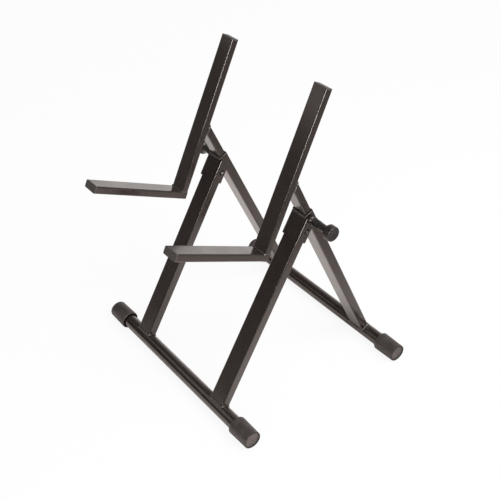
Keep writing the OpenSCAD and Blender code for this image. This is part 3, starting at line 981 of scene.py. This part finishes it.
def makeWorld(values):
    # plain white for the camera, an even dome for the light, and for the gloss a dome that is
    # dark overhead, with a pale horizon and a glow towards the rear
    world = bpy.data.worlds.new("studioDome")
    bpy.context.scene.world = world
    world.use_nodes = True
    tree = world.node_tree
    tree.nodes.clear()
    split = addNode(tree, "ShaderNodeSeparateXYZ")
    tree.links.new(addNode(tree, "ShaderNodeTexCoord").outputs["Generated"], split.inputs[0])
    rearward, upward = split.outputs["Y"], split.outputs["Z"]
    glow = remap(tree, rearward, *values["horizonTurn"], *values["horizon"])
    low = remap(tree, upward, 0.0, values["horizonTop"], 1.0, 0.0)
    rear = remap(tree, rearward, 0.0, values["rearFull"], 0.0, values["rearGlow"], smooth=False)
    horizon = math2(tree, "MULTIPLY", glow, low)
    total = math2(tree, "ADD", horizon, math2(tree, "ADD", rear, values["ceiling"]))
    mirrored = addNode(tree, "ShaderNodeBackground")
    mirrored.inputs["Color"].default_value = values["domeTint"]
    tree.links.new(total, mirrored.inputs["Strength"])
    light = addNode(tree, "ShaderNodeBackground")
    light.inputs["Strength"].default_value = values["domeLight"]
    light.inputs["Color"].default_value = (1, 1, 1, 1)
    white = addNode(tree, "ShaderNodeBackground")
    white.inputs["Color"].default_value = (1, 1, 1, 1)
    path = addNode(tree, "ShaderNodeLightPath").outputs
    clear = math2(tree, "MAXIMUM", path["Is Camera Ray"], path["Is Transmission Ray"])
    shown = light.outputs[0]
    for factor, dome in ((path["Is Glossy Ray"], mirrored), (clear, white)):
        shown = blendShaders(tree, factor, shown, dome.outputs[0])
    tree.links.new(shown, addNode(tree, "ShaderNodeOutputWorld").inputs["Surface"])


def makeFloor(values):
    # nearly plain white for the camera; in the gloss it falls off around the stand
    floor, tree = makeSheet("paleFloor", (0, 0, 0), values["floorSize"], values["floorSize"])
    turned = addNode(tree, "ShaderNodeMapping")
    turned.inputs["Rotation"].default_value = (0, 0, -math.radians(values["fallTowards"]))
    position = addNode(tree, "ShaderNodeTexCoord").outputs["Object"]
    tree.links.new(position, turned.inputs["Vector"])
    split = addNode(tree, "ShaderNodeSeparateXYZ")
    tree.links.new(turned.outputs[0], split.inputs[0])
    reach = addNode(tree, "ShaderNodeVectorMath", operation="LENGTH")
    tree.links.new(position, reach.inputs[0])
    sideways = remap(tree, split.outputs["X"], *values["fallOff"])
    away = math2(tree, "MAXIMUM", sideways, remap(tree, reach.outputs["Value"], *values["reach"]))
    mirrored = mixColour(tree, away, values["mirrorNear"], values["mirrorFar"])
    path = addNode(tree, "ShaderNodeLightPath").outputs
    matt = addNode(tree, "ShaderNodeBsdfDiffuse")
    shade = mixColour(tree, path["Is Glossy Ray"], values["floorColour"], mirrored)
    tree.links.new(shade, matt.inputs["Color"])
    white = addNode(tree, "ShaderNodeEmission")
    share = math2(tree, "MULTIPLY", path["Is Camera Ray"], values["whiteShare"])
    shown = blendShaders(tree, share, matt.outputs[0], white.outputs[0])
    tree.links.new(shown, addNode(tree, "ShaderNodeOutputMaterial").inputs["Surface"])


def makeLamp(name, values):
    # a round soft lamp; those that only the gloss sees light no matt surface
    data = bpy.data.lights.new(name, "AREA")
    data.shape = "DISK"
    data.size = values[name]["size"]
    data.energy = values[name]["power"]
    lamp = bpy.data.objects.new(name, data)
    lamp.visible_diffuse = name not in values["glossOnly"]
    aim = Vector(values["lampAim"]) - Vector(values[name]["place"])
    turn = aim.to_track_quat("-Z", "Y").to_matrix().to_4x4()
    lamp.matrix_world = Matrix.Translation(values[name]["place"]) @ turn
    bpy.context.scene.collection.objects.link(lamp)


def makeCard(values):
    # a pale card over the front, which only the gloss sees
    card, tree = makeSheet("paleCard", values["cardPlace"], *values["cardSize"])
    plain = addNode(tree, "ShaderNodeEmission")
    plain.inputs["Color"].default_value = values["cardColour"]
    tree.links.new(plain.outputs[0], addNode(tree, "ShaderNodeOutputMaterial").inputs["Surface"])
    card.visible_camera = False
    card.visible_diffuse = False
    card.visible_shadow = False
    card.visible_transmission = False


makeWorld(studio)
makeFloor(studio)
for lampName in ("softBox", "rearBox", "cornerLamp", "keyLamp"):
    makeLamp(lampName, studio)
makeCard(studio)
bpy.context.scene.view_settings.view_transform = "Standard"
print("studio set")
